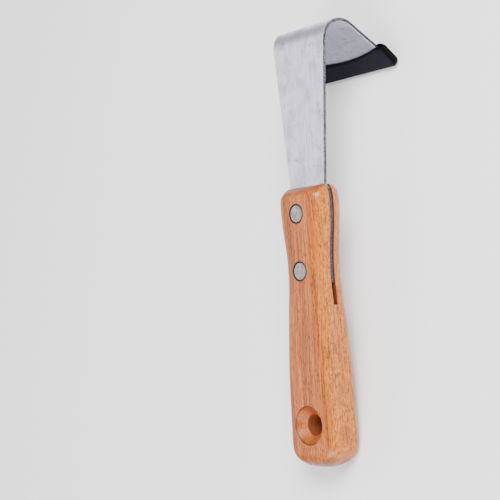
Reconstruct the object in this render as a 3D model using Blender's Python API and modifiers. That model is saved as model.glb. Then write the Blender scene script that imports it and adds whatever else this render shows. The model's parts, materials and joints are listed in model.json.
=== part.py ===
"""A wooden-handled hoof pick with a slip-on blade guard, lying like a rake on a flat surface.

The tool is drawn in its own frame: X across it, +Y out of the back of the handle, and Z from the hook end
of the handle, at 0, towards the butt. An empty then lays it down, back up, on the guard and the butt.
"""

from math import asin, atan2, cos, hypot, pi, radians, sin, sqrt

import bmesh
import bpy
from mathutils import Matrix, Vector

MM = 0.001
GAP = 0.3 * MM

# Handle: the lists hold (place along the handle, half size there)
HANDLE_LENGTH = 131.0 * MM
HANDLE_HALF_WIDTHS = ((0, 12.6), (3, 14.3), (9, 15.0), (20, 14.3), (32, 12.8), (43, 12.4), (57, 13.2),
                      (72, 13.6), (90, 14.1), (105, 14.6), (118, 15.0), (131, 15.0))
HANDLE_HALF_THICKNESSES = ((0, 9.2), (48, 9.2), (70, 9.7), (90, 10.1), (108, 9.9), (131, 9.9))
HANDLE_CORNER_RADII = ((0, 7.6), (45, 7.4), (85, 5.4), (131, 5.4))
HANDLE_SECTIONS = 34
BUTT_PLAN_RADIUS = 11.0 * MM
BUTT_EDGE_RADIUS = 7.4 * MM
HOOK_END_FLAT = 1.6 * MM
HOOK_END_CHAMFER = 4.0 * MM
HOOK_END_EASING = 1.6
LEAST_FLAT_BESIDE_CORNER = 0.3 * MM
HANG_HOLE_AT = 111.4 * MM
HANG_HOLE_RADIUS = 5.0 * MM
COUNTERSINK_RADIUS = 9.1 * MM
COUNTERSINK_DEPTH = 4.1 * MM
KERF_LENGTH = 56.2 * MM
CUTTER_REACH = 30 * MM

# Blade: tang, strap, bend and hook in one piece of sheet steel
BLADE_THICKNESS = 1.8 * MM
TANG_LENGTH = 46.0 * MM
TANG_INSET = 0.3 * MM
STRAP_LENGTH = 67.4 * MM
STRAP_HALF_WIDTH_AT_HANDLE = 11.7 * MM
STRAP_HALF_WIDTH_AT_BEND = 17.4 * MM
BEND_RADIUS = 9.3 * MM
BEND_ANGLE = radians(128.0)
HOOK_LENGTH = 28.0 * MM
TIP_HALF_WIDTH = 26.5 * MM
FLARE_DIP = 3.0 * MM
GROUND_EDGE_WIDTH = 2.4 * MM
GROUND_EDGE_THICKNESS = 0.5 * MM
TIP_CORNER = 0.8 * MM
TANG_STEPS = 16
BEND_STEPS = 16
HOOK_STEPS = 5

# Rivets: a pin half pressed in from the front meets a sleeve half from the back
RIVETS = {"hook_end_rivet": 12.9 * MM, "middle_rivet": 39.8 * MM}
RIVET_HEAD_RADIUS = 4.0 * MM
RIVET_HEAD_THICKNESS = 1.6 * MM
RIVET_HEAD_CHAMFER = 0.25 * MM
RIVET_HEAD_SINK = 0.1 * MM
PIN_RADIUS = 1.7 * MM
PIN_STOPS_SHORT = 1.5 * MM
SLEEVE_RADIUS = 2.8 * MM
RIVET_HOLE_RADIUS = SLEEVE_RADIUS + GAP
COUNTERBORE_RADIUS = RIVET_HEAD_RADIUS + GAP

# Guard
GUARD_HALF_WIDTH = 28.3 * MM
GUARD_HALF_WIDTH_AT_EARS = 27.5 * MM
GUARD_BEYOND_TIP = 1.5 * MM
GUARD_DEPTH_AT_SIDES = 12.3 * MM
GUARD_THICKNESS = 4.6 * MM
GUARD_TIP_CORNER = 3.0 * MM
GUARD_EAR_CORNER = 2.3 * MM
GUARD_EDGE_RADIUS = 1.6 * MM
GUARD_MOUTH_DEPTH = 8.6 * MM
GUARD_MOUTH_RADIUS = 85.7 * MM
GUARD_MOUTH_SIDES = 160

ROUND_SIDES = 40
CORNER_POINTS = 8


def empty_the_scene():
    for old in list(bpy.data.objects):
        bpy.data.objects.remove(old)


def collection(name):
    made = bpy.data.collections.new(name)
    bpy.context.scene.collection.children.link(made)
    return made


def finish_of(name, colour, roughness, metallic):
    """One Principled material for one sub-part."""
    material = bpy.data.materials.new(name)
    material.use_nodes = True
    shader = material.node_tree.nodes["Principled BSDF"]
    shader.inputs["Base Color"].default_value = (*colour, 1.0)
    shader.inputs["Roughness"].default_value = roughness
    shader.inputs["Metallic"].default_value = metallic
    return material


def named_object(name, mesh, group, parent, material=None):
    """Puts a mesh in the scene as a sub-part, or as a cutter where it has no material."""
    made = bpy.data.objects.new(name, mesh)
    group.objects.link(made)
    made.parent = parent
    if material:
        mesh.materials.append(material)
        mesh.shade_smooth()
        mesh.set_sharp_from_angle(angle=radians(35))
    else:
        made.hide_render = True
        made.display_type = "WIRE"
    return made


def cut(target, cutter):
    boolean = target.modifiers.new(cutter.name, "BOOLEAN")
    boolean.operation = "DIFFERENCE"
    boolean.object = cutter


def smooth_through(points, place):
    """Reads a smooth curve through (place, half size) points, given in millimetres."""
    place = place / MM
    slopes = []
    for index in range(len(points)):
        before, after = points[max(index - 1, 0)], points[min(index + 1, len(points) - 1)]
        slopes.append((after[1] - before[1]) / (after[0] - before[0]))
    for index in range(len(points) - 1):
        (start, low), (stop, high) = points[index], points[index + 1]
        if place <= stop:
            break
    span = stop - start
    t = min(max((place - start) / span, 0.0), 1.0)
    curve = ((1 + 2 * t) * (1 - t) ** 2 * low + t * (1 - t) ** 2 * span * slopes[index]
             + t * t * (3 - 2 * t) * high + t * t * (t - 1) * span * slopes[index + 1])
    return curve * MM


def rounded_off(radius, past):
    """How much a quarter round of this radius has taken off, this far past its start."""
    past = min(max(past, 0.0), radius)
    return radius - sqrt(radius * radius - past * past)


def handle_half_width(place):
    past = place - (HANDLE_LENGTH - BUTT_PLAN_RADIUS)
    return smooth_through(HANDLE_HALF_WIDTHS, place) - rounded_off(BUTT_PLAN_RADIUS, past)


def handle_half_thickness(place):
    past = place - (HANDLE_LENGTH - BUTT_EDGE_RADIUS)
    full = smooth_through(HANDLE_HALF_THICKNESSES, place) - rounded_off(BUTT_EDGE_RADIUS, past)
    along = min(place / (HOOK_END_EASING * HOOK_END_CHAMFER), 1.0)
    eased = along + along * (1.0 - along) * (HOOK_END_EASING - 1.0 / HOOK_END_EASING)
    return HOOK_END_FLAT + (full - HOOK_END_FLAT) * min(eased, 1.0)


def handle_section(place):
    """The rounded rectangle of the handle's section at one place."""
    half_width, half_thickness = handle_half_width(place), handle_half_thickness(place)
    widest_radius = half_thickness - LEAST_FLAT_BESIDE_CORNER
    radius = min(smooth_through(HANDLE_CORNER_RADII, place), half_width, widest_radius)
    points = []
    for quarter, (across, through) in enumerate(((1, 1), (-1, 1), (-1, -1), (1, -1))):
        for step in range(CORNER_POINTS):
            angle = (quarter + step / (CORNER_POINTS - 1)) * pi / 2
            points.append(Vector((across * (half_width - radius) + radius * cos(angle),
                                  through * (half_thickness - radius) + radius * sin(angle), place)))
    return points


def loft(sections):
    """A closed mesh through sections that all have the same number of points."""
    shape = bmesh.new()
    rings = [[shape.verts.new(point) for point in section] for section in sections]
    for ring, following in zip(rings, rings[1:]):
        for index in range(len(ring)):
            onward = (index + 1) % len(ring)
            shape.faces.new((ring[index], ring[onward], following[onward], following[index]))
    shape.faces.new(reversed(rings[0]))
    shape.faces.new(rings[-1])
    bmesh.ops.recalc_face_normals(shape, faces=shape.faces)
    return shape


def to_mesh(shape, name):
    mesh = bpy.data.meshes.new(name)
    shape.to_mesh(mesh)
    shape.free()
    return mesh


def box(name, low, high):
    shape = bmesh.new()
    bmesh.ops.create_cube(shape, size=1.0)
    low, high = Vector(low), Vector(high)
    bmesh.ops.scale(shape, vec=high - low, verts=shape.verts)
    bmesh.ops.translate(shape, vec=(low + high) / 2, verts=shape.verts)
    return to_mesh(shape, name)


def drill(name, profile, place):
    """A turned cutter across the handle, from a profile of (place along Y, radius) from front to back."""
    turns = [2 * pi * step / ROUND_SIDES for step in range(ROUND_SIDES)]
    circles = [[Vector((radius * cos(turn), along, place + radius * sin(turn))) for turn in turns]
               for along, radius in profile]
    return to_mesh(loft(circles), name)


def turned_along_y(name, profile, place, group, parent, material):
    """A turned piece from a profile of (radius, place along its axis), with its axis along Y."""
    shape = bmesh.new()
    points = [shape.verts.new((radius, along, 0)) for radius, along in profile]
    for first, second in zip(points, points[1:]):
        shape.edges.new((first, second))
    made = named_object(name, to_mesh(shape, name), group, parent, material)
    made.location = (0, 0, place)
    screw = made.modifiers.new("turn", "SCREW")
    screw.axis = "Y"
    screw.steps = ROUND_SIDES
    screw.render_steps = ROUND_SIDES
    screw.use_merge_vertices = True
    screw.merge_threshold = 0.00001
    screw.use_normal_flip = True
    return made


def make_handle(parts, cutters, tool):
    """One piece of beech, waisted for the hand, sawn down the middle for the tang."""
    sections = []
    for step in range(HANDLE_SECTIONS + 1):
        closer_at_the_ends = (1 - cos(pi * step / HANDLE_SECTIONS)) / 2
        sections.append(handle_section(HANDLE_LENGTH * closer_at_the_ends))
    mesh = to_mesh(loft(sections), "handle")
    handle = named_object("handle", mesh, parts, tool, finish_of("beech", (0.72, 0.40, 0.22), 0.45, 0.0))

    half_kerf = BLADE_THICKNESS / 2 + GAP
    kerf = box("kerf_cutter", (-CUTTER_REACH, -half_kerf, -CUTTER_REACH),
               (CUTTER_REACH, half_kerf, KERF_LENGTH))
    cut(handle, named_object("kerf_cutter", kerf, cutters, tool))

    face = handle_half_thickness(HANG_HOLE_AT)
    past = 1 * MM
    widening = past * (COUNTERSINK_RADIUS - HANG_HOLE_RADIUS) / COUNTERSINK_DEPTH
    floor = face - COUNTERSINK_DEPTH
    countersunk = ((-face - past, COUNTERSINK_RADIUS + widening), (-floor, HANG_HOLE_RADIUS),
                   (floor, HANG_HOLE_RADIUS), (face + past, COUNTERSINK_RADIUS + widening))
    hole = drill("hang_hole_cutter", countersunk, HANG_HOLE_AT)
    cut(handle, named_object(hole.name, hole, cutters, tool))

    for name, place in RIVETS.items():
        floor = handle_half_thickness(place) - RIVET_HEAD_THICKNESS - GAP
        counterbored = ((-CUTTER_REACH, COUNTERBORE_RADIUS), (-floor, COUNTERBORE_RADIUS),
                        (-floor, RIVET_HOLE_RADIUS), (floor, RIVET_HOLE_RADIUS),
                        (floor, COUNTERBORE_RADIUS), (CUTTER_REACH, COUNTERBORE_RADIUS))
        hole = drill(name + "_hole_cutter", counterbored, place)
        cut(handle, named_object(hole.name, hole, cutters, tool))


def bend_centre():
    return Vector((0, -BEND_RADIUS, -STRAP_LENGTH))


def hook_start():
    """Middle of the sheet where the bend ends and the straight hook begins."""
    return bend_centre() + BEND_RADIUS * Vector((0, cos(BEND_ANGLE), -sin(BEND_ANGLE)))


def hook_direction():
    return Vector((0, -sin(BEND_ANGLE), -cos(BEND_ANGLE)))


def hook_outward():
    """Normal of the hook's outer face, which is the strap's back face carried round the bend."""
    return Vector((0, cos(BEND_ANGLE), -sin(BEND_ANGLE)))


def hook_half_width(along):
    """Half width at a distance along the bend and the hook, flaring faster towards the tip."""
    share = along / (BEND_RADIUS * BEND_ANGLE + HOOK_LENGTH)
    straight = STRAP_HALF_WIDTH_AT_BEND + (TIP_HALF_WIDTH - STRAP_HALF_WIDTH_AT_BEND) * share
    return straight - FLARE_DIP * share * (1 - share)


def sheet_section(middle, outward, half_width, inner=1.0, outer=1.0):
    """A rectangle across the sheet; inner and outer are shares of its half thickness."""
    half = BLADE_THICKNESS / 2
    across = Vector((half_width, 0, 0))
    return [middle - across - half * inner * outward, middle + across - half * inner * outward,
            middle + across + half * outer * outward, middle - across + half * outer * outward]


def make_blade(parts, cutters, tool):
    """Tang, strap, bend and flared hook, swept as one sheet, ground to an edge at the tip."""
    back = Vector((0, 1, 0))
    sections = []
    for step in range(TANG_STEPS + 1):
        place = TANG_LENGTH * (1 - step / TANG_STEPS)
        half_width = handle_half_width(place) - TANG_INSET
        if step == TANG_STEPS:
            half_width = STRAP_HALF_WIDTH_AT_HANDLE
        sections.append(sheet_section(Vector((0, 0, place)), back, half_width))
    for step in range(BEND_STEPS + 1):
        angle = BEND_ANGLE * step / BEND_STEPS
        outward = Vector((0, cos(angle), -sin(angle)))
        half_width = hook_half_width(BEND_RADIUS * angle)
        sections.append(sheet_section(bend_centre() + BEND_RADIUS * outward, outward, half_width))
    ground_from = HOOK_LENGTH - GROUND_EDGE_WIDTH
    bend_arc = BEND_RADIUS * BEND_ANGLE
    outward = hook_outward()
    for step in range(1, HOOK_STEPS + 1):
        along = ground_from * step / HOOK_STEPS
        sections.append(sheet_section(hook_start() + along * hook_direction(), outward,
                                      hook_half_width(bend_arc + along)))
    corner = HOOK_LENGTH - TIP_CORNER
    edge = 2 * GROUND_EDGE_THICKNESS / BLADE_THICKNESS - 1
    for along, inset in ((corner, 0.0), (HOOK_LENGTH, TIP_CORNER)):
        outer = 1 - (1 - edge) * (along - ground_from) / GROUND_EDGE_WIDTH
        sections.append(sheet_section(hook_start() + along * hook_direction(), outward,
                                      hook_half_width(bend_arc + along) - inset, outer=outer))
    mesh = to_mesh(loft(sections), "blade")
    steel = finish_of("blade_steel", (0.62, 0.62, 0.65), 0.38, 1.0)
    blade = named_object("blade", mesh, parts, tool, steel)
    for name, place in RIVETS.items():
        through = ((-BLADE_THICKNESS, RIVET_HOLE_RADIUS), (BLADE_THICKNESS, RIVET_HOLE_RADIUS))
        hole = drill(name + "_tang_hole_cutter", through, place)
        cut(blade, named_object(hole.name, hole, cutters, tool))


def make_rivet(name, place, parts, tool, metal):
    """Two turned halves: the pin's head is flush with the front, the sleeve's with the back."""
    face = handle_half_thickness(place) - RIVET_HEAD_SINK
    under_head = face - RIVET_HEAD_THICKNESS
    pin_end = under_head - PIN_STOPS_SHORT
    chamfer = RIVET_HEAD_CHAMFER
    pin = ((0, -face), (RIVET_HEAD_RADIUS - chamfer, -face), (RIVET_HEAD_RADIUS, chamfer - face),
           (RIVET_HEAD_RADIUS, -under_head), (PIN_RADIUS, -under_head), (PIN_RADIUS, pin_end), (0, pin_end))
    turned_along_y(name + "_pin", pin, place, parts, tool, metal)
    bore_radius = PIN_RADIUS + GAP
    bore_end = pin_end + GAP
    sleeve_end = GAP - under_head
    sleeve = ((0, bore_end), (bore_radius, bore_end), (bore_radius, sleeve_end), (SLEEVE_RADIUS, sleeve_end),
              (SLEEVE_RADIUS, under_head), (RIVET_HEAD_RADIUS, under_head),
              (RIVET_HEAD_RADIUS, face - chamfer), (RIVET_HEAD_RADIUS - chamfer, face), (0, face))
    turned_along_y(name + "_sleeve", sleeve, place, parts, tool, metal)


def guard_turn():
    """Places a shape drawn with +Y along the hook's outward direction and +Z out of its outer face."""
    axes = Matrix((Vector((1, 0, 0)), hook_direction(), hook_outward())).transposed()
    tip = hook_start() + HOOK_LENGTH * hook_direction()
    return Matrix.Translation(tip) @ axes.to_4x4()


def make_guard(parts, cutters, tool, slide):
    """A moulded cover with a straight tip, a hollowed mouth and a pocket for the hook's edge."""
    shape = bmesh.new()
    half = GUARD_THICKNESS / 2
    bmesh.ops.create_cube(shape, size=1.0)
    length = GUARD_DEPTH_AT_SIDES + GUARD_BEYOND_TIP
    bmesh.ops.scale(shape, vec=(2 * GUARD_HALF_WIDTH, length, 2 * half), verts=shape.verts)
    bmesh.ops.translate(shape, vec=(0, GUARD_BEYOND_TIP - length / 2, 0), verts=shape.verts)
    ears = [corner for corner in shape.verts if corner.co.y < 0]
    bmesh.ops.scale(shape, vec=(GUARD_HALF_WIDTH_AT_EARS / GUARD_HALF_WIDTH, 1, 1), verts=ears)
    for along, radius in ((GUARD_BEYOND_TIP, GUARD_TIP_CORNER), (-GUARD_DEPTH_AT_SIDES, GUARD_EAR_CORNER)):
        corners = [edge for edge in shape.edges
                   if abs(edge.verts[0].co.z - edge.verts[1].co.z) > half
                   and abs(edge.verts[0].co.y - along) < GAP]
        bmesh.ops.bevel(shape, geom=corners, offset=radius, segments=6, profile=0.5, affect="EDGES")
    shape.normal_update()
    rims = [edge for face in shape.faces if abs(face.normal.z) > 0.9 for edge in face.edges]
    bmesh.ops.bevel(shape, geom=rims, offset=GUARD_EDGE_RADIUS, segments=3, profile=0.5, affect="EDGES")
    mesh = to_mesh(shape, "blade_guard")
    plastic = finish_of("guard_plastic", (0.03, 0.03, 0.035), 0.5, 0.0)
    guard = named_object("blade_guard", mesh, parts, slide, plastic)

    pocket_half = BLADE_THICKNESS / 2 + GAP
    pocket_wide = TIP_HALF_WIDTH + GAP
    pocket = box("guard_pocket_cutter", (-pocket_wide, -2 * length, -pocket_half),
                 (pocket_wide, GAP, pocket_half))
    cut(guard, named_object(pocket.name, pocket, cutters, slide))

    mouth = bmesh.new()
    bmesh.ops.create_cone(mouth, cap_ends=True, segments=GUARD_MOUTH_SIDES, radius1=GUARD_MOUTH_RADIUS,
                          radius2=GUARD_MOUTH_RADIUS, depth=4 * half)
    bmesh.ops.translate(mouth, vec=(0, -GUARD_MOUTH_DEPTH - GUARD_MOUTH_RADIUS, 0), verts=mouth.verts)
    cut(guard, named_object("guard_mouth_cutter", to_mesh(mouth, "guard_mouth_cutter"), cutters, slide))


def rest_tilt():
    """Tilt that brings the guard's rounded tip and the butt's rounded edge down to one level."""
    inward = GUARD_EDGE_RADIUS
    tip = guard_turn() @ Vector((0, GUARD_BEYOND_TIP - inward, GUARD_THICKNESS / 2 - inward))
    butt_y = BUTT_EDGE_RADIUS - smooth_through(HANDLE_HALF_THICKNESSES, HANDLE_LENGTH)
    butt_z = HANDLE_LENGTH - BUTT_EDGE_RADIUS
    along, drop = butt_z - tip.z, butt_y - tip.y
    return atan2(drop, along) - asin((BUTT_EDGE_RADIUS - inward) / hypot(along, drop))


def stand_on_origin(tool, parts):
    """Moves the whole tool so that the middle of its box stands on the origin."""
    bpy.context.view_layer.update()
    graph = bpy.context.evaluated_depsgraph_get()
    points = []
    for part in parts.objects:
        evaluated = part.evaluated_get(graph)
        mesh = evaluated.to_mesh()
        points += [evaluated.matrix_world @ vertex.co for vertex in mesh.vertices]
        evaluated.to_mesh_clear()
    low = Vector(min(point[axis] for point in points) for axis in range(3))
    high = Vector(max(point[axis] for point in points) for axis in range(3))
    tool.location = -Vector(((low.x + high.x) / 2, (low.y + high.y) / 2, low.z))


def main():
    empty_the_scene()
    parts = collection("hoof_pick")
    cutters = collection("cutters")
    tool = bpy.data.objects.new("tool_frame", None)
    bpy.context.scene.collection.objects.link(tool)
    tool.rotation_euler = (pi / 2 + rest_tilt(), 0, 0)
    slide = bpy.data.objects.new("guard_slide_frame", None)
    bpy.context.scene.collection.objects.link(slide)
    slide.parent = tool
    slide.matrix_local = guard_turn()

    make_handle(parts, cutters, tool)
    make_blade(parts, cutters, tool)
    metal = finish_of("rivet_metal", (0.68, 0.68, 0.70), 0.35, 1.0)
    for name, place in RIVETS.items():
        make_rivet(name, place, parts, tool, metal)
    make_guard(parts, cutters, tool, slide)
    stand_on_origin(tool, parts)


main()
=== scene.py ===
"""A hoof pick with a slip-on blade guard, put together piece by piece as a maker would."""

import json
from math import atan2, cos, pi, radians, sin, sqrt

import bmesh
import bpy
from mathutils import Matrix, Vector


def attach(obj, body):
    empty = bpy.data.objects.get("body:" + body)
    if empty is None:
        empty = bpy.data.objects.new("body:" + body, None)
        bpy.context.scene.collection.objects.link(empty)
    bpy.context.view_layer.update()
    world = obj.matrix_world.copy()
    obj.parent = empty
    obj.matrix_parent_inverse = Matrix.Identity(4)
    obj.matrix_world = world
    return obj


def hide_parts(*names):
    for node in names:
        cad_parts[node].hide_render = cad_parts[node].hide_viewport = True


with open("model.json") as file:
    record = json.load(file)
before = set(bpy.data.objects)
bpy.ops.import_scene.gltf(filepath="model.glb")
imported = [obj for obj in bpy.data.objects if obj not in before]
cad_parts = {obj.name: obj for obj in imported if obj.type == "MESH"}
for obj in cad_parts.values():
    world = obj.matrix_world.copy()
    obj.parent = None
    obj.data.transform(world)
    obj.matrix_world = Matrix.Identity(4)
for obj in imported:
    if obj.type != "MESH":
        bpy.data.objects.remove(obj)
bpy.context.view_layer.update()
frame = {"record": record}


# The handle is one piece of clear-lacquered beech, sawn to a waisted outline and routed round at its edges.
# Its hook end is rounded over at the back and sanded flat at the front, and a saw cut there takes the tang.
# The hang hole near the butt is drilled through and countersunk on both faces, which scorches the wood.

MM = 0.001
GAP = 0.3 * MM
HANDLE_LENGTH = 131 * MM
HANDLE_HALF_WIDTHS = ((0, 12.6), (3, 14.3), (9, 15.0), (20, 14.3), (32, 12.8), (43, 12.4), (57, 13.2),
                      (72, 13.6), (90, 14.1), (105, 14.6), (118, 15.0), (131, 15.0))
HANDLE_HALF_THICKNESSES = ((0, 9.2), (48, 9.2), (70, 9.7), (90, 10.1), (108, 9.9), (131, 9.9))
HANDLE_EDGE_RADII = ((0, 7.4), (45, 7.2), (85, 5.2), (131, 5.2))
HANDLE_STATIONS = 72
HANDLE_RING_POINTS = 112
BUTT_PLAN_RADIUS = 11 * MM
BUTT_EDGE_RADIUS = 7.4 * MM
HOOK_END_FLAT = 2.0 * MM
HOOK_END_FACET_LENGTH = 5.0 * MM
HOOK_END_ROUND_LENGTH = 5.4 * MM
HOOK_END_ROUNDNESS = 0.75
HANG_HOLE_AT = 111.4 * MM
HANG_HOLE_RADIUS = 5 * MM
COUNTERSINK_RADIUS = 9.1 * MM
COUNTERSINK_DEPTH = 4.1 * MM
PAST_FACE = 1 * MM
KERF_LENGTH = 56.2 * MM
KERF_HALF_WIDTH = 1.2 * MM
BEYOND_THE_WOOD = 15 * MM
BESIDE_THE_WOOD = 30 * MM
RIVET_PLACES = {"hook_end_rivet": 12.9 * MM, "middle_rivet": 39.8 * MM}
RIVET_HEAD_RADIUS = 4.0 * MM
RIVET_HEAD_THICKNESS = 1.6 * MM
RIVET_SHANK_RADIUS = 2.8 * MM
ROUND_SIDES = 64

hang_hole = next(mount for mount in frame["record"]["mounts"] if mount["name"] == "hang_hole")
across = Vector((1, 0, 0))
out_of_back = Vector(hang_hole["axis"])
towards_butt = across.cross(out_of_back)
hook_end_centre = Vector(hang_hole["pos_m"]) - HANG_HOLE_AT * towards_butt
tool_axes = Matrix((across, out_of_back, towards_butt)).transposed()
tool_lies = Matrix.Translation(hook_end_centre) @ tool_axes.to_4x4()


def smooth_through(points, place):
    """Reads a smooth curve through (place, half size) points, given in millimetres."""
    place = place / MM
    slopes = []
    for index in range(len(points)):
        before, after = points[max(index - 1, 0)], points[min(index + 1, len(points) - 1)]
        slopes.append((after[1] - before[1]) / (after[0] - before[0]))
    for index in range(len(points) - 1):
        (start, low), (stop, high) = points[index], points[index + 1]
        if place <= stop:
            break
    span = stop - start
    t = min(max((place - start) / span, 0.0), 1.0)
    curve = ((1 + 2 * t) * (1 - t) ** 2 * low + t * (1 - t) ** 2 * span * slopes[index]
             + t * t * (3 - 2 * t) * high + t * t * (t - 1) * span * slopes[index + 1])
    return curve * MM


def rounded_off(radius, past):
    """How much a quarter round of this radius has taken off, this far past its start."""
    past = min(max(past, 0.0), radius)
    return radius - sqrt(radius * radius - past * past)


def handle_half_width(place):
    past = place - (HANDLE_LENGTH - BUTT_PLAN_RADIUS)
    return smooth_through(HANDLE_HALF_WIDTHS, place) - rounded_off(BUTT_PLAN_RADIUS, past)


def handle_half_thickness(place, side=0):
    """Half thickness of the handle; its back face, side 1, is also sanded round at the hook end."""
    past = place - (HANDLE_LENGTH - BUTT_EDGE_RADIUS)
    full = smooth_through(HANDLE_HALF_THICKNESSES, place) - rounded_off(BUTT_EDGE_RADIUS, past)
    if side < 1:
        return full
    along = min(place / HOOK_END_ROUND_LENGTH, 1.0)
    eased = (along * (2.0 - along)) ** HOOK_END_ROUNDNESS
    return HOOK_END_FLAT + (full - HOOK_END_FLAT) * eased


def select_only(piece):
    bpy.ops.object.select_all(action="DESELECT")
    piece.select_set(True)
    bpy.context.view_layer.objects.active = piece


def work_on(piece):
    select_only(piece)
    bpy.ops.object.mode_set(mode="EDIT")


def done_with_edits():
    bpy.ops.object.mode_set(mode="OBJECT")


def settle(piece):
    """Leaves the piece at the origin, with its place in its mesh."""
    select_only(piece)
    bpy.ops.object.transform_apply(location=True, rotation=True, scale=True)


def put(piece, where):
    """Turns and moves a piece, drawn about the origin, to where it goes."""
    piece.matrix_world = where @ piece.matrix_world
    settle(piece)


def grow(move, stretch, centre):
    """Draws the selected face out by one step and changes its size about a centre."""
    bpy.ops.mesh.extrude_region_move(TRANSFORM_OT_translate={"value": move})
    bpy.ops.transform.resize(value=stretch, center_override=centre)


def close_up():
    """Merges doubles, turns every face outwards and leaves edit mode."""
    bpy.ops.mesh.select_all(action="SELECT")
    bpy.ops.mesh.remove_doubles(threshold=0.000001)
    bpy.ops.mesh.normals_make_consistent(inside=False)
    done_with_edits()


def block(name, low, high):
    """A plain block between two corners, used as a cutter."""
    low, high = Vector(low), Vector(high)
    bpy.ops.object.select_all(action="DESELECT")
    bpy.ops.mesh.primitive_cube_add(size=1, location=(low + high) / 2)
    made = bpy.context.object
    made.name = name
    made.scale = high - low
    settle(made)
    return made


def turned(name, profile, place):
    """A turned shape with its axis along Y, from (place along Y, radius) rows, starting at a flat end."""
    start, radius = profile[0]
    bpy.ops.object.select_all(action="DESELECT")
    bpy.ops.mesh.primitive_circle_add(vertices=ROUND_SIDES, radius=radius, fill_type="NGON",
                                      location=(0, start, place), rotation=(pi / 2, 0, 0))
    made = bpy.context.object
    made.name = name
    settle(made)
    work_on(made)
    bpy.ops.mesh.select_all(action="SELECT")
    for along, wide in profile[1:]:
        grow((0, along - start, 0), (wide / radius, 1, wide / radius), (0, along, place))
        start, radius = along, wide
    close_up()
    return made


def cut_away(piece, cutter):
    """Takes the cutter's shape out of the piece and clears the cutter away."""
    select_only(piece)
    modifier = piece.modifiers.new("cut", "BOOLEAN")
    modifier.operation = "DIFFERENCE"
    modifier.solver = "EXACT"
    modifier.object = cutter
    bpy.ops.object.modifier_apply(modifier=modifier.name)
    bpy.data.objects.remove(cutter)


def smooth(piece, angle):
    select_only(piece)
    bpy.ops.object.shade_smooth_by_angle(angle=radians(angle))


def onto_rounded_corner(aim, half_width, half_thickness, radius):
    """How far from the middle a rectangle with rounded corners reaches, in the direction aimed at."""
    reach = min(half_width / max(abs(aim.x), 1e-9), half_thickness / max(abs(aim.y), 1e-9))
    straight_x, straight_y = half_width - radius, half_thickness - radius
    if abs(aim.x) * reach > straight_x and abs(aim.y) * reach > straight_y:
        along = abs(aim.x) * straight_x + abs(aim.y) * straight_y
        off = straight_x ** 2 + straight_y ** 2 - along ** 2
        reach = along + sqrt(max(radius ** 2 - off, 0.0))
    return reach


def ease_onto_section(place):
    """Moves the selected ring onto the handle's section there, keeping the points' spacing."""
    half_width = handle_half_width(place)
    ring = bmesh.from_edit_mesh(bpy.context.object.data)
    for corner in [corner for corner in ring.verts if corner.select]:
        side = 1 if corner.co.y > 0 else -1
        half_thickness = handle_half_thickness(place, side)
        radius = min(smooth_through(HANDLE_EDGE_RADII, place), half_width, half_thickness - GAP)
        aim = Vector((corner.co.x, corner.co.y)).normalized()
        reach = onto_rounded_corner(aim, half_width, half_thickness, radius)
        corner.co.x, corner.co.y = aim.x * reach, aim.y * reach
    bmesh.update_edit_mesh(bpy.context.object.data)


bpy.ops.object.select_all(action="DESELECT")
bpy.ops.mesh.primitive_circle_add(vertices=HANDLE_RING_POINTS, radius=handle_half_width(0),
                                  fill_type="NGON")
handle = bpy.context.object
handle.name = "beech_handle"
work_on(handle)
bpy.ops.mesh.select_all(action="SELECT")
ease_onto_section(0)
last_place = 0
for station in range(1, HANDLE_STATIONS + 1):
    place = HANDLE_LENGTH * (1 - cos(pi * station / HANDLE_STATIONS)) / 2
    grow((0, 0, place - last_place), (1, 1, 1), (0, 0, place))
    ease_onto_section(place)
    last_place = place
close_up()

facet_tilt = atan2(handle_half_thickness(0) - HOOK_END_FLAT, HOOK_END_FACET_LENGTH)
sander = block("sander", (-BESIDE_THE_WOOD, -BEYOND_THE_WOOD, -BEYOND_THE_WOOD),
               (BESIDE_THE_WOOD, 0, BEYOND_THE_WOOD))
put(sander, Matrix.Translation((0, -HOOK_END_FLAT, 0)) @ Matrix.Rotation(facet_tilt, 4, "X"))
cut_away(handle, sander)

cut_away(handle, block("kerf", (-BESIDE_THE_WOOD, -KERF_HALF_WIDTH, -BEYOND_THE_WOOD),
                       (BESIDE_THE_WOOD, KERF_HALF_WIDTH, KERF_LENGTH)))
back_face = handle_half_thickness(HANG_HOLE_AT)
hole_starts = back_face - COUNTERSINK_DEPTH
wider = PAST_FACE * (COUNTERSINK_RADIUS - HANG_HOLE_RADIUS) / COUNTERSINK_DEPTH
funnels = ((-back_face - PAST_FACE, COUNTERSINK_RADIUS + wider), (-hole_starts, HANG_HOLE_RADIUS),
           (hole_starts, HANG_HOLE_RADIUS), (back_face + PAST_FACE, COUNTERSINK_RADIUS + wider))
cut_away(handle, turned("hang_hole", funnels, HANG_HOLE_AT))
rivet_hole, counterbore = RIVET_SHANK_RADIUS + GAP, RIVET_HEAD_RADIUS + GAP
for place in RIVET_PLACES.values():
    seat = handle_half_thickness(place) - RIVET_HEAD_THICKNESS - GAP
    stepped = ((-BEYOND_THE_WOOD, counterbore), (-seat, counterbore), (-seat, rivet_hole),
               (seat, rivet_hole), (seat, counterbore), (BEYOND_THE_WOOD, counterbore))
    cut_away(handle, turned("rivet_hole", stepped, place))
smooth(handle, 32)
put(handle, tool_lies)


def add(tree, kind, inputs=None, **settings):
    """Adds a node, sets it up and joins or fills its inputs, which are named or numbered."""
    made = tree.nodes.new(kind)
    for name, value in settings.items():
        setattr(made, name, value)
    for name, value in (inputs or {}).items():
        if isinstance(value, bpy.types.NodeSocket):
            tree.links.new(value, made.inputs[name])
        else:
            made.inputs[name].default_value = value
    return made


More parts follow.
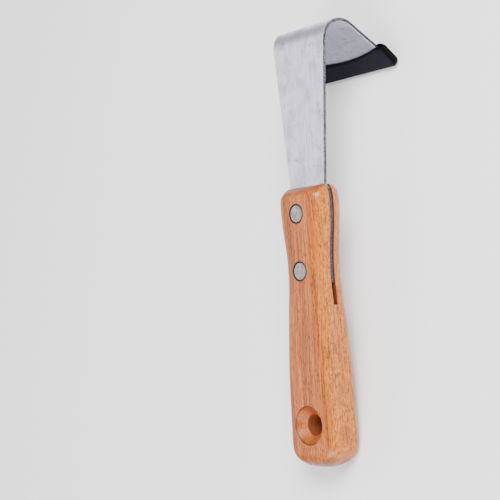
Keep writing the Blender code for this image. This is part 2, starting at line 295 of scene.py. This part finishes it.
def new_finish(name, **shader_values):
    """A Principled material: its tree, its shader, and the values that are the same all over it."""
    material = bpy.data.materials.new(name)
    material.use_nodes = True
    shader = material.node_tree.nodes["Principled BSDF"]
    for socket, value in shader_values.items():
        shader.inputs[socket.replace("_", " ")].default_value = value
    return material, material.node_tree, shader


def along_tool(tree):
    """Millimetres along the tool's own axes: X across it, Y out of its back, Z towards the butt."""
    place = add(tree, "ShaderNodeTexCoord").outputs["Object"]
    return add(tree, "ShaderNodeMapping", {"Vector": place, "Location": hook_end_centre,
                                           "Rotation": tool_lies.to_euler(), "Scale": (MM, MM, MM)},
               vector_type="TEXTURE").outputs["Vector"]


def stretched(tree, place, size):
    """The same place counted in cells of this size, in its own units."""
    scale = [1 / length for length in size]
    return add(tree, "ShaderNodeMapping", {"Vector": place, "Scale": scale}).outputs["Vector"]


def clouds(tree, place, size, detail=3.0, rough=0.5, bent=0.0):
    """A soft random pattern with lumps of this size, around 0.5."""
    place = stretched(tree, place, size)
    return add(tree, "ShaderNodeTexNoise", {"Vector": place, "Scale": 1.0, "Detail": detail,
                                            "Roughness": rough, "Distortion": bent}).outputs["Fac"]


def flecks(tree, place, size):
    """Distance from the middles of scattered flecks of this size, which are at 0."""
    place = stretched(tree, place, size)
    return add(tree, "ShaderNodeTexVoronoi", {"Vector": place, "Scale": 1.0}).outputs["Distance"]


def ramp(tree, value, start, stop, low=0.0, high=1.0):
    """Eases from low to high while the value goes from start to stop, which may be the smaller."""
    return add(tree, "ShaderNodeMapRange", {"Value": value, "From Min": start, "From Max": stop,
                                            "To Min": low, "To Max": high},
               interpolation_type="SMOOTHSTEP").outputs["Result"]


def sums(tree, operation, first, second=0.0):
    return add(tree, "ShaderNodeMath", {0: first, 1: second}, operation=operation).outputs["Value"]


def times(tree, first, *others):
    for other in others:
        first = sums(tree, "MULTIPLY", first, other)
    return first


def paint(tree, amount, under, over):
    """Lays one colour over another, by an amount from 0 to 1."""
    made = add(tree, "ShaderNodeMix", {0: amount}, data_type="RGBA")
    for socket, colour in ((made.inputs[6], under), (made.inputs[7], over)):
        if isinstance(colour, bpy.types.NodeSocket):
            tree.links.new(colour, socket)
        else:
            socket.default_value = (*colour, 1)
    return made.outputs[2]


def facing(tree, direction):
    """How squarely the surface faces along a direction or against it, from 0 to 1."""
    normal = add(tree, "ShaderNodeNewGeometry").outputs["Normal"]
    dot = add(tree, "ShaderNodeVectorMath", {0: normal, 1: direction}, operation="DOT_PRODUCT")
    return sums(tree, "ABSOLUTE", dot.outputs["Value"])


def relief(tree, shader, height, strength, depth, layer="Normal"):
    """Raises and sinks a layer of the finish by a height pattern, up to this depth."""
    bump = add(tree, "ShaderNodeBump", {"Height": height, "Strength": strength, "Distance": depth})
    tree.links.new(bump.outputs["Normal"], shader.inputs[layer])


BEECH = (0.40, 0.100, 0.016)
BEECH_LATE_WOOD = (0.20, 0.038, 0.006)
BEECH_DARK_STREAK = (0.12, 0.020, 0.003)
BEECH_PALE_TONE_AND_SIDE_LIGHT = (0.50, 0.145, 0.014)
BEECH_RAY = (0.05, 0.008, 0.002)
BEECH_SIDE_LINE = (0.15, 0.032, 0.005)
BEECH_RAY_ON_SIDE = (0.60, 0.225, 0.036)
BEECH_END_GRAIN = (0.13, 0.026, 0.007)
SCORCHED = (0.17, 0.043, 0.020)
COUNTERSUNK = (0.30, 0.068, 0.018)
RIM_BURN = (0.08, 0.016, 0.005)
RIVET_SHADOW = (0.012, 0.005, 0.003)
KERF_SHADE = (0.10, 0.022, 0.010)
BAND_SIZE = (3.6, 9.0, 150.0)
STREAK_SIZE = (0.50, 0.8, 17.0)
CLOUD_SIZE = (8.0, 10.0, 26.0)
RAY_SIZE = (0.72, 11.0, 3.3)
LADDER_SIZE = (1.0, 5.0, 2.3)
RING_SIZE = (3.0, 4.2, 13.0)
RINGS_IN_A_LUMP = 11.0
LACQUER_POOL_SIZE = (1.6, 1.6, 2.6)
LACQUER_WAVES = 0.28 * MM
OPEN_PORES = 0.06 * MM

beech, tree, shader = new_finish("lacquered_beech", Coat_Roughness=0.15, Specular_IOR_Level=0.2)
grain = along_tool(tree)
on_side = ramp(tree, facing(tree, across), 0.35, 0.85)
off_side = sums(tree, "SUBTRACT", 1.0, on_side)
bands = ramp(tree, clouds(tree, grain, BAND_SIZE, 2.0, 0.5, 0.6), 0.42, 0.60)
streaks = clouds(tree, grain, STREAK_SIZE, 4.0, 0.65)
cloudy = clouds(tree, grain, CLOUD_SIZE, 2.0)
rays = ramp(tree, flecks(tree, grain, RAY_SIZE), 0.40, 0.14)
ladder = ramp(tree, flecks(tree, grain, LADDER_SIZE), 0.55, 0.25)
rings = times(tree, clouds(tree, grain, RING_SIZE, 3.0, 0.55, 0.3), RINGS_IN_A_LUMP)
ring_lines = ramp(tree, sums(tree, "PINGPONG", rings, 0.5), 0.24, 0.03)
colour = paint(tree, times(tree, bands, 0.6), BEECH, BEECH_LATE_WOOD)
# The side faces are painted lighter and yellower as a painted highlight of the light falling on them;
# random cloudy patches take the same pale colour.
colour = paint(tree, times(tree, on_side, 0.85), colour, BEECH_PALE_TONE_AND_SIDE_LIGHT)
colour = paint(tree, ramp(tree, cloudy, 0.42, 0.72, 0.0, 0.35), colour, BEECH_PALE_TONE_AND_SIDE_LIGHT)
colour = paint(tree, ramp(tree, streaks, 0.48, 0.68, 0.0, 0.85), colour, BEECH_DARK_STREAK)
colour = paint(tree, ramp(tree, streaks, 0.46, 0.32, 0.0, 0.5), colour, BEECH_RAY_ON_SIDE)
colour = paint(tree, times(tree, rays, off_side, 0.75), colour, BEECH_RAY)
colour = paint(tree, times(tree, ladder, on_side, 0.25), colour, BEECH_RAY_ON_SIDE)
colour = paint(tree, times(tree, ring_lines, on_side, 0.8), colour, BEECH_SIDE_LINE)
on_end = ramp(tree, facing(tree, towards_butt), 0.5, 0.8)
end_grain = times(tree, on_end, ramp(tree, cloudy, 0.35, 0.65, 0.5, 1.3))
colour = paint(tree, times(tree, end_grain, 0.5), colour, BEECH_END_GRAIN)
spread = add(tree, "ShaderNodeSeparateXYZ", {0: grain})


def far_from_axis(place):
    """Millimetres from an axis that runs through the handle at this place along it."""
    along = sums(tree, "SUBTRACT", spread.outputs["Z"], place / MM)
    off = add(tree, "ShaderNodeCombineXYZ", {0: spread.outputs["X"], 2: along}).outputs["Vector"]
    return add(tree, "ShaderNodeVectorMath", {0: off}, operation="LENGTH").outputs["Value"]


from_hole = far_from_axis(HANG_HOLE_AT)
rim, bore = COUNTERSINK_RADIUS / MM, HANG_HOLE_RADIUS / MM
on_slope = ramp(tree, facing(tree, out_of_back), 0.97, 0.85)
in_countersink = times(tree, ramp(tree, from_hole, rim + 0.15, rim), on_slope)
colour = paint(tree, times(tree, in_countersink, 0.3), colour, COUNTERSUNK)
at_rim = times(tree, in_countersink, ramp(tree, from_hole, rim - 0.8, rim - 0.1))
colour = paint(tree, times(tree, at_rim, 0.95), colour, RIM_BURN)
in_bore = ramp(tree, from_hole, bore + 0.35, bore)
colour = paint(tree, times(tree, in_bore, ramp(tree, streaks, 0.3, 0.7, 1.0, 0.55)), colour, SCORCHED)
head_edge = RIVET_HEAD_RADIUS / MM
for place in RIVET_PLACES.values():
    ring = ramp(tree, far_from_axis(place), head_edge + 1.05, head_edge + 0.6)
    colour = paint(tree, ring, colour, RIVET_SHADOW)
# The walls of the saw cut are painted dark as painted shade in the narrow slot.
kerf_side, kerf_end = KERF_HALF_WIDTH / MM, KERF_LENGTH / MM
from_middle = sums(tree, "ABSOLUTE", spread.outputs["Y"])
before_kerf_end = ramp(tree, spread.outputs["Z"], kerf_end + 0.4, kerf_end)
in_kerf = times(tree, ramp(tree, from_middle, kerf_side + 0.25, kerf_side), before_kerf_end)
colour = paint(tree, times(tree, in_kerf, 0.85), colour, KERF_SHADE)
tree.links.new(colour, shader.inputs["Base Color"])
dullness = sums(tree, "ADD", ramp(tree, streaks, 0.3, 0.8, 0.32, 0.52), times(tree, end_grain, 0.12))
tree.links.new(dullness, shader.inputs["Roughness"])
unlacquered = sums(tree, "MAXIMUM", in_countersink, in_bore)
tree.links.new(ramp(tree, unlacquered, 0.0, 0.5, 0.32, 0.0), shader.inputs["Coat Weight"])
relief(tree, shader, clouds(tree, grain, LACQUER_POOL_SIZE, 2.0), 0.8, LACQUER_WAVES, "Coat Normal")
relief(tree, shader, sums(tree, "SUBTRACT", streaks, times(tree, rays, 0.4)), 0.45, OPEN_PORES)
handle.data.materials.append(beech)
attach(handle, "tool")
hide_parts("handle")


# The blade is one strip of 1.8 mm steel: a tang in the saw cut, a strap that widens away from the handle, a
# round bend, and a flared hook ground to an edge on its outer face. It is brushed along its length. Its
# sheared sides are painted dark as shade, and their bevelled corners brighter as a painted highlight. The
# hook is painted darker as shade, and the tang in the saw cut near black as shade.

BLADE_THICKNESS = 1.8 * MM
TANG_LENGTH = 46 * MM
TANG_INSET = 0.3 * MM
STRAP_LENGTH = 67.4 * MM
STRAP_HALF_WIDTH_AT_HANDLE = 11.7 * MM
STRAP_HALF_WIDTH_AT_BEND = 17.4 * MM
BEND_RADIUS = 9.3 * MM
BEND_ANGLE = radians(128)
TANG_STEPS = 24
STRAP_STEPS = 8
BEND_STEPS = 28
HOOK_STEPS = 8
HOOK_LENGTH = 28 * MM
TIP_HALF_WIDTH = 26.5 * MM
FLARE_DIP = 3 * MM
GROUND_EDGE_WIDTH = 2.4 * MM
GROUND_EDGE_THICKNESS = 0.5 * MM
BLADE_EDGE_EASING = 0.35 * MM
THICKEST = 1.01 * BLADE_THICKNESS
SAME_PLACE = 0.0001 * MM

bend_centre = Vector((0, -BEND_RADIUS, -STRAP_LENGTH))
along_hook = Vector((0, -sin(BEND_ANGLE), -cos(BEND_ANGLE)))
out_of_hook = Vector((0, cos(BEND_ANGLE), -sin(BEND_ANGLE)))
hook_starts = bend_centre + BEND_RADIUS * out_of_hook


def hook_half_width(along):
    """Half width at a distance along the bend and the hook, flaring faster towards the tip."""
    share = along / (BEND_RADIUS * BEND_ANGLE + HOOK_LENGTH)
    straight = STRAP_HALF_WIDTH_AT_BEND + (TIP_HALF_WIDTH - STRAP_HALF_WIDTH_AT_BEND) * share
    return straight - FLARE_DIP * share * (1 - share)


bpy.ops.object.select_all(action="DESELECT")
bpy.ops.mesh.primitive_plane_add(size=2, location=(0, 0, TANG_LENGTH))
blade = bpy.context.object
blade.name = "steel_blade"
half_width = handle_half_width(TANG_LENGTH) - TANG_INSET
blade.scale = (half_width, BLADE_THICKNESS / 2, 1)
settle(blade)
work_on(blade)
bpy.ops.mesh.select_all(action="SELECT")
for step in range(1, TANG_STEPS + 1):
    place = TANG_LENGTH * (1 - step / TANG_STEPS)
    wider = STRAP_HALF_WIDTH_AT_HANDLE if step == TANG_STEPS else handle_half_width(place) - TANG_INSET
    grow((0, 0, -TANG_LENGTH / TANG_STEPS), (wider / half_width, 1, 1), (0, 0, place))
    half_width = wider
strap_flare = STRAP_HALF_WIDTH_AT_BEND - STRAP_HALF_WIDTH_AT_HANDLE
for step in range(1, STRAP_STEPS + 1):
    wider = STRAP_HALF_WIDTH_AT_HANDLE + strap_flare * step / STRAP_STEPS
    grow((0, 0, -STRAP_LENGTH / STRAP_STEPS), (wider / half_width, 1, 1), (0, 0, 0))
    half_width = wider
for step in range(1, BEND_STEPS + 1):
    wider = hook_half_width(BEND_RADIUS * BEND_ANGLE * step / BEND_STEPS)
    bpy.ops.mesh.extrude_region_move(TRANSFORM_OT_translate={"value": (0, 0, 0)})
    bpy.ops.transform.rotate(value=BEND_ANGLE / BEND_STEPS, orient_axis="X", center_override=bend_centre)
    bpy.ops.transform.resize(value=(wider / half_width, 1, 1), center_override=(0, 0, 0))
    half_width = wider
ground_from = HOOK_LENGTH - GROUND_EDGE_WIDTH
ground_start = hook_starts + ground_from * along_hook
hook_places = [ground_from * step / HOOK_STEPS for step in range(HOOK_STEPS + 1)] + [HOOK_LENGTH]
for before, along in zip(hook_places, hook_places[1:]):
    wider = hook_half_width(BEND_RADIUS * BEND_ANGLE + along)
    grow((along - before) * along_hook, (wider / half_width, 1, 1), (0, 0, 0))
    half_width = wider
tip = bmesh.from_edit_mesh(blade.data)
tip_middle = hook_starts + HOOK_LENGTH * along_hook
for corner in tip.verts:
    corner.select = corner.select and (corner.co - tip_middle).dot(out_of_hook) > 0
tip.select_flush_mode()
bpy.ops.transform.translate(value=(GROUND_EDGE_THICKNESS - BLADE_THICKNESS) * out_of_hook)
close_up()


def at_a_corner(edge):
    """True for an edge that runs along a corner of the strip, short of the ground part."""
    first, second = (corner.co for corner in edge.verts)
    on_one_side = abs(first.x + second.x) > abs(first.x - second.x)
    is_long = (first.yz - second.yz).length > GROUND_EDGE_THICKNESS * 1.1
    through_strip = abs(abs(first.x) - abs(second.x)) < SAME_PLACE and (first - second).length < THICKEST
    ground_away = min(first.y, second.y) < ground_start.y - BLADE_THICKNESS / 2
    return on_one_side and is_long and not through_strip and not ground_away


work_on(blade)
bpy.ops.mesh.select_all(action="DESELECT")
shape = bmesh.from_edit_mesh(blade.data)
for edge in shape.edges:
    edge.select = at_a_corner(edge)
bmesh.update_edit_mesh(blade.data)
bpy.ops.mesh.bevel(offset=BLADE_EDGE_EASING, segments=2, profile=0.5, affect="EDGES")
close_up()
for place in RIVET_PLACES.values():
    through = ((-BLADE_THICKNESS, rivet_hole), (BLADE_THICKNESS, rivet_hole))
    cut_away(blade, turned("tang_hole", through, place))
smooth(blade, 20)
put(blade, tool_lies)

STEEL = (0.74, 0.72, 0.86)
STEEL_DULL = (0.44, 0.43, 0.51)
STEEL_SCUFF = (0.14, 0.14, 0.17)
STEEL_SHADE_ON_HOOK = (0.27, 0.265, 0.34)
STEEL_EDGE_HIGHLIGHT = (0.70, 0.70, 0.75)
STEEL_SIDE_SHADE = (0.02, 0.02, 0.024)
TANG_SHADE_IN_SLOT = (0.05, 0.05, 0.06)
BRUSH_SIZE = (0.35, 40.0, 40.0)
BLOTCH_SIZE = (6.0, 7.0, 9.0)
SPECK_SIZE = (1.9, 2.6, 1.3)
SCRATCH_SIZE = (7.0, 1.0, 0.8)
BRUSH_MARKS = 0.03 * MM

steel, tree, shader = new_finish("brushed_steel", Metallic=1.0)
strip = along_tool(tree)
brushing = clouds(tree, strip, BRUSH_SIZE, 4.0, 0.7)
blotches = clouds(tree, strip, BLOTCH_SIZE, 5.0, 0.6, 0.5)
specks = clouds(tree, strip, SPECK_SIZE, 3.0, 0.6, 0.8)
scratches = clouds(tree, strip, SCRATCH_SIZE, 4.0, 0.65, 0.6)
spread = add(tree, "ShaderNodeSeparateXYZ", {0: strip})
on_hook = ramp(tree, spread.outputs["Y"], -7.0, -15.0)
# The hook is painted darker all over as painted shade.
colour = paint(tree, times(tree, on_hook, 0.9), STEEL, STEEL_SHADE_ON_HOOK)
colour = paint(tree, ramp(tree, blotches, 0.44, 0.66, 0.0, 0.6), colour, STEEL_DULL)
colour = paint(tree, ramp(tree, brushing, 0.47, 0.68, 0.0, 0.8), colour, STEEL_DULL)
colour = paint(tree, times(tree, ramp(tree, scratches, 0.52, 0.72), on_hook, 0.6), colour, STEEL_SCUFF)
colour = paint(tree, ramp(tree, specks, 0.64, 0.72, 0.0, 0.85), colour, STEEL_SCUFF)
sideways = facing(tree, across)
# The bevelled corners of the strip are painted bright as a painted highlight along its edges.
eased = times(tree, ramp(tree, sideways, 0.10, 0.25), ramp(tree, sideways, 0.85, 0.75))
colour = paint(tree, eased, colour, STEEL_EDGE_HIGHLIGHT)
# The flat sides of the strip are painted near black, a little patchy, as painted shade.
shaded_sides = times(tree, ramp(tree, sideways, 0.80, 0.90), ramp(tree, scratches, 0.35, 0.65, 1.0, 0.75))
colour = paint(tree, shaded_sides, colour, STEEL_SIDE_SHADE)
# The tang inside the wood is painted near black in patches as painted shade in the saw cut.
patchy = ramp(tree, scratches, 0.35, 0.65, 0.85, 0.55)
in_wood = times(tree, ramp(tree, spread.outputs["Z"], -0.5, 1.0), patchy)
colour = paint(tree, in_wood, colour, TANG_SHADE_IN_SLOT)
tree.links.new(colour, shader.inputs["Base Color"])
duller = ramp(tree, blotches, 0.35, 0.75, 0.0, 0.1)
dullness = sums(tree, "ADD", ramp(tree, brushing, 0.2, 0.8, 0.34, 0.48), duller)
tree.links.new(dullness, shader.inputs["Roughness"])
relief(tree, shader, sums(tree, "ADD", brushing, blotches), 0.35, BRUSH_MARKS)
blade.data.materials.append(steel)
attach(blade, "tool")
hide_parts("blade")


# Two cutler's rivets hold the handle to the tang. Each is a pair of turned steel halves: a pin pressed in
# from the front meets a hollow sleeve pressed in from the back. Their heads are ground flush with the wood.

RIVET_SINK = 0.1 * MM
RIVET_RIM = 0.25 * MM
RIVET_CROWN = 0.06 * MM
CROWN_STARTS_AT = 2.2 * MM
CROWN_TOP_RADIUS = 0.8 * MM
PIN_RADIUS = 1.7 * MM
PIN_STOPS_SHORT = 1.5 * MM
rivet_face = handle_half_thickness(RIVET_PLACES["hook_end_rivet"]) - RIVET_SINK
under_head = rivet_face - RIVET_HEAD_THICKNESS
pin_end = under_head - PIN_STOPS_SHORT
head = ((under_head, RIVET_HEAD_RADIUS), (rivet_face - RIVET_RIM, RIVET_HEAD_RADIUS),
        (rivet_face - 0.3 * RIVET_RIM, RIVET_HEAD_RADIUS - 0.3 * RIVET_RIM),
        (rivet_face, RIVET_HEAD_RADIUS - RIVET_RIM), (rivet_face + 0.7 * RIVET_CROWN, CROWN_STARTS_AT),
        (rivet_face + RIVET_CROWN, CROWN_TOP_RADIUS))
pin_profile = ((-pin_end, PIN_RADIUS), (under_head, PIN_RADIUS)) + head
sleeve_profile = ((-pin_end - GAP, PIN_RADIUS + GAP), (GAP - under_head, PIN_RADIUS + GAP),
                  (GAP - under_head, RIVET_SHANK_RADIUS), (under_head, RIVET_SHANK_RADIUS)) + head

RIVET_STEEL = (0.42, 0.37, 0.37)
RIVET_GRINDING = (0.26, 0.23, 0.23)
RIVET_TARNISH = (0.20, 0.17, 0.17)
GRINDING_SIZE = (0.22, 30.0, 5.0)
TARNISH_SIZE = (2.4, 3.0, 2.4)
GRINDING_MARKS = 0.02 * MM

rivet_metal, tree, shader = new_finish("ground_rivet_steel", Metallic=1.0)
on_rivet = along_tool(tree)
ground = clouds(tree, on_rivet, GRINDING_SIZE, 4.0, 0.6)
tarnish = clouds(tree, on_rivet, TARNISH_SIZE, 3.0)
colour = paint(tree, ramp(tree, ground, 0.4, 0.7, 0.0, 0.6), RIVET_STEEL, RIVET_GRINDING)
colour = paint(tree, ramp(tree, tarnish, 0.42, 0.62, 0.0, 0.7), colour, RIVET_TARNISH)
tree.links.new(colour, shader.inputs["Base Color"])
tree.links.new(ramp(tree, ground, 0.2, 0.8, 0.30, 0.45), shader.inputs["Roughness"])
relief(tree, shader, ground, 0.3, GRINDING_MARKS)

for rivet, place in RIVET_PLACES.items():
    for half, profile, from_front in (("pin", pin_profile, True), ("sleeve", sleeve_profile, False)):
        piece = turned(f"{rivet}_{half}_turned", profile, 0)
        put(piece, Matrix.Translation((0, 0, place)) @ Matrix.Rotation(pi if from_front else 0, 4, "Z"))
        smooth(piece, 30)
        put(piece, tool_lies)
        piece.data.materials.append(rivet_metal)
        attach(piece, "tool")
        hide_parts(f"{rivet}_{half}")


# The guard is a black plastic cover that pushes onto the hook's edge. It is moulded in one piece with a
# thin pocket for the steel, a straight tip, two short ears and a mouth hollowed in an arc between them.

GUARD_HALF_WIDTH = 28.3 * MM
GUARD_HALF_WIDTH_AT_EARS = 27.4 * MM
GUARD_BEYOND_TIP = 1.5 * MM
GUARD_DEPTH_AT_SIDES = 11.9 * MM
GUARD_HALF_THICKNESS = 2.1 * MM
GUARD_TIP_CORNER = 3.1 * MM
GUARD_EAR_CORNER = 2.8 * MM
GUARD_EDGE_RADIUS = 1.3 * MM
GUARD_MOUTH_DEPTH = 8.6 * MM
GUARD_MOUTH_RADIUS = 85.7 * MM
GUARD_MOUTH_SIDES = 360
POCKET_HALF_WIDTH = TIP_HALF_WIDTH + GAP
POCKET_HALF_THICKNESS = BLADE_THICKNESS / 2 + GAP

guard_length = GUARD_DEPTH_AT_SIDES + GUARD_BEYOND_TIP
guard = block("slip_on_guard", (-GUARD_HALF_WIDTH, -GUARD_DEPTH_AT_SIDES, -GUARD_HALF_THICKNESS),
              (GUARD_HALF_WIDTH, GUARD_BEYOND_TIP, GUARD_HALF_THICKNESS))


def select_edges(piece, wanted):
    bpy.ops.mesh.select_all(action="DESELECT")
    shape = bmesh.from_edit_mesh(piece.data)
    shape.normal_update()
    for edge in shape.edges:
        if wanted(edge):
            edge.select_set(True)
    bmesh.update_edit_mesh(piece.data)


def stands_at(edge, along):
    """True for an edge through the guard's thickness at this place along it."""
    first, second = (corner.co for corner in edge.verts)
    return abs(first.z - second.z) > GUARD_HALF_THICKNESS and abs(first.y - along) < GAP


work_on(guard)
bpy.ops.mesh.select_all(action="DESELECT")
shape = bmesh.from_edit_mesh(guard.data)
for corner in shape.verts:
    corner.select_set(corner.co.y < 0)
bmesh.update_edit_mesh(guard.data)
narrower = GUARD_HALF_WIDTH_AT_EARS / GUARD_HALF_WIDTH
bpy.ops.transform.resize(value=(narrower, 1, 1), center_override=(0, 0, 0))
for along, radius in ((GUARD_BEYOND_TIP, GUARD_TIP_CORNER), (-GUARD_DEPTH_AT_SIDES, GUARD_EAR_CORNER)):
    select_edges(guard, lambda edge: stands_at(edge, along))
    bpy.ops.mesh.bevel(offset=radius, segments=10, profile=0.5, affect="EDGES")
done_with_edits()
mouth_at = -GUARD_MOUTH_DEPTH - GUARD_MOUTH_RADIUS
bpy.ops.object.select_all(action="DESELECT")
bpy.ops.mesh.primitive_cylinder_add(vertices=GUARD_MOUTH_SIDES, radius=GUARD_MOUTH_RADIUS,
                                    depth=4 * GUARD_HALF_THICKNESS, location=(0, mouth_at, 0))
mouth = bpy.context.object
settle(mouth)
cut_away(guard, mouth)


def on_rim(edge):
    """True for an edge between a flat face of the guard and its outline."""
    return sum(abs(face.normal.z) > 0.9 for face in edge.link_faces) == 1


work_on(guard)
select_edges(guard, on_rim)
bpy.ops.mesh.bevel(offset=GUARD_EDGE_RADIUS, segments=6, profile=0.5, affect="EDGES", clamp_overlap=False)
close_up()
cut_away(guard, block("pocket", (-POCKET_HALF_WIDTH, -2 * guard_length, -POCKET_HALF_THICKNESS),
                      (POCKET_HALF_WIDTH, GAP, POCKET_HALF_THICKNESS)))
smooth(guard, 32)
hook_axes = Matrix((across, along_hook, out_of_hook)).transposed()
guard_on_hook = Matrix.Translation(tip_middle) @ hook_axes.to_4x4()
put(guard, tool_lies @ guard_on_hook)

BLACK_RIM_SHADE = (0.0008, 0.0008, 0.001)
BLACK_PANEL = (0.009, 0.009, 0.015)
HANDLED_SIZE = (6.0, 5.0, 5.0)
MOULD_TEXTURE_SIZE = (0.25, 0.25, 0.25)
MOULD_TEXTURE = 0.03 * MM

plastic, tree, shader = new_finish("moulded_black_plastic", Specular_IOR_Level=0.05)
on_guard = along_tool(tree)
texture = clouds(tree, on_guard, MOULD_TEXTURE_SIZE, 2.0)
handled = clouds(tree, on_guard, HANDLED_SIZE, 3.0, 0.6, 0.5)
# The rims, edges and mouth of the guard are painted near black as painted shade; its flat panels are
# lighter, with a mottle of dust.
on_panel = ramp(tree, facing(tree, tool_axes @ out_of_hook), 0.90, 0.99)
lit_panel_and_dust = times(tree, on_panel, ramp(tree, handled, 0.35, 0.75, 0.6, 1.0))
tree.links.new(paint(tree, lit_panel_and_dust, BLACK_RIM_SHADE, BLACK_PANEL), shader.inputs["Base Color"])
tree.links.new(ramp(tree, handled, 0.3, 0.7, 0.40, 0.55), shader.inputs["Roughness"])
relief(tree, shader, texture, 0.3, MOULD_TEXTURE)
guard.data.materials.append(plastic)
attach(guard, "guard")
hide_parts("blade_guard")


# The tool lies on a pale matt table in soft studio light: a key high up past the hook, a broad fill past
# the butt, and a wide dim card on the far side, which the flat of the steel mirrors towards the camera.

TABLE_SIZE = 8.0
TABLE_WHITE = (0.88, 0.88, 0.88)
TABLE_SHADE = (0.86, 0.86, 0.86)
TABLE_MOTTLE = (1.0, 1.0, 1.0)
TOOL_MIDDLE = Vector((0, 0, 0.02))
DAYLIGHT = (0.97, 0.98, 1.0, 1)
DAYLIGHT_STRENGTH = 0.5
bpy.ops.object.select_all(action="DESELECT")
bpy.ops.mesh.primitive_plane_add(size=TABLE_SIZE)
table = bpy.context.object
table.name = "table_top"
table_finish, tree, shader = new_finish("matt_white_board", Roughness=0.7)
mottle = clouds(tree, add(tree, "ShaderNodeTexCoord").outputs["Object"], TABLE_MOTTLE, 2.0)
tree.links.new(paint(tree, mottle, TABLE_SHADE, TABLE_WHITE), shader.inputs["Base Color"])
table.data.materials.append(table_finish)


def soft_light(name, place, size, watts):
    """A round soft light aimed at the middle of the tool."""
    bpy.ops.object.light_add(type="AREA", location=place)
    light = bpy.context.object
    light.name = name
    light.data.shape = "DISK"
    light.data.size = size
    light.data.energy = watts
    light.rotation_euler = (TOOL_MIDDLE - Vector(place)).to_track_quat("-Z", "Y").to_euler()


soft_light("key", (0.69, 0.55, 0.94), 0.75, 34)
soft_light("fill", (0.46, -0.98, 0.73), 1.2, 26)
soft_light("card", (-0.91, -0.06, 0.78), 1.4, 8)
world = bpy.data.worlds.new("studio")
bpy.context.scene.world = world
world.use_nodes = True
background = world.node_tree.nodes["Background"]
background.inputs["Color"].default_value = DAYLIGHT
background.inputs["Strength"].default_value = DAYLIGHT_STRENGTH

CAMERA_AT = Vector((0.4378, -0.0973, 0.4268))
CAMERA_RIGHT = Vector((0.6449, 0.0568, -0.7622))
CAMERA_UP = Vector((0.0806, 0.9866, 0.1417))
bpy.ops.object.camera_add(location=CAMERA_AT)
camera = bpy.context.object
camera_axes = Matrix((CAMERA_RIGHT, CAMERA_UP, CAMERA_RIGHT.cross(CAMERA_UP))).transposed()
camera.rotation_euler = camera_axes.to_euler()
camera.data.lens = 91.95
camera.data.sensor_width = 36
camera.data.clip_start = 0.01
bpy.context.scene.camera = camera
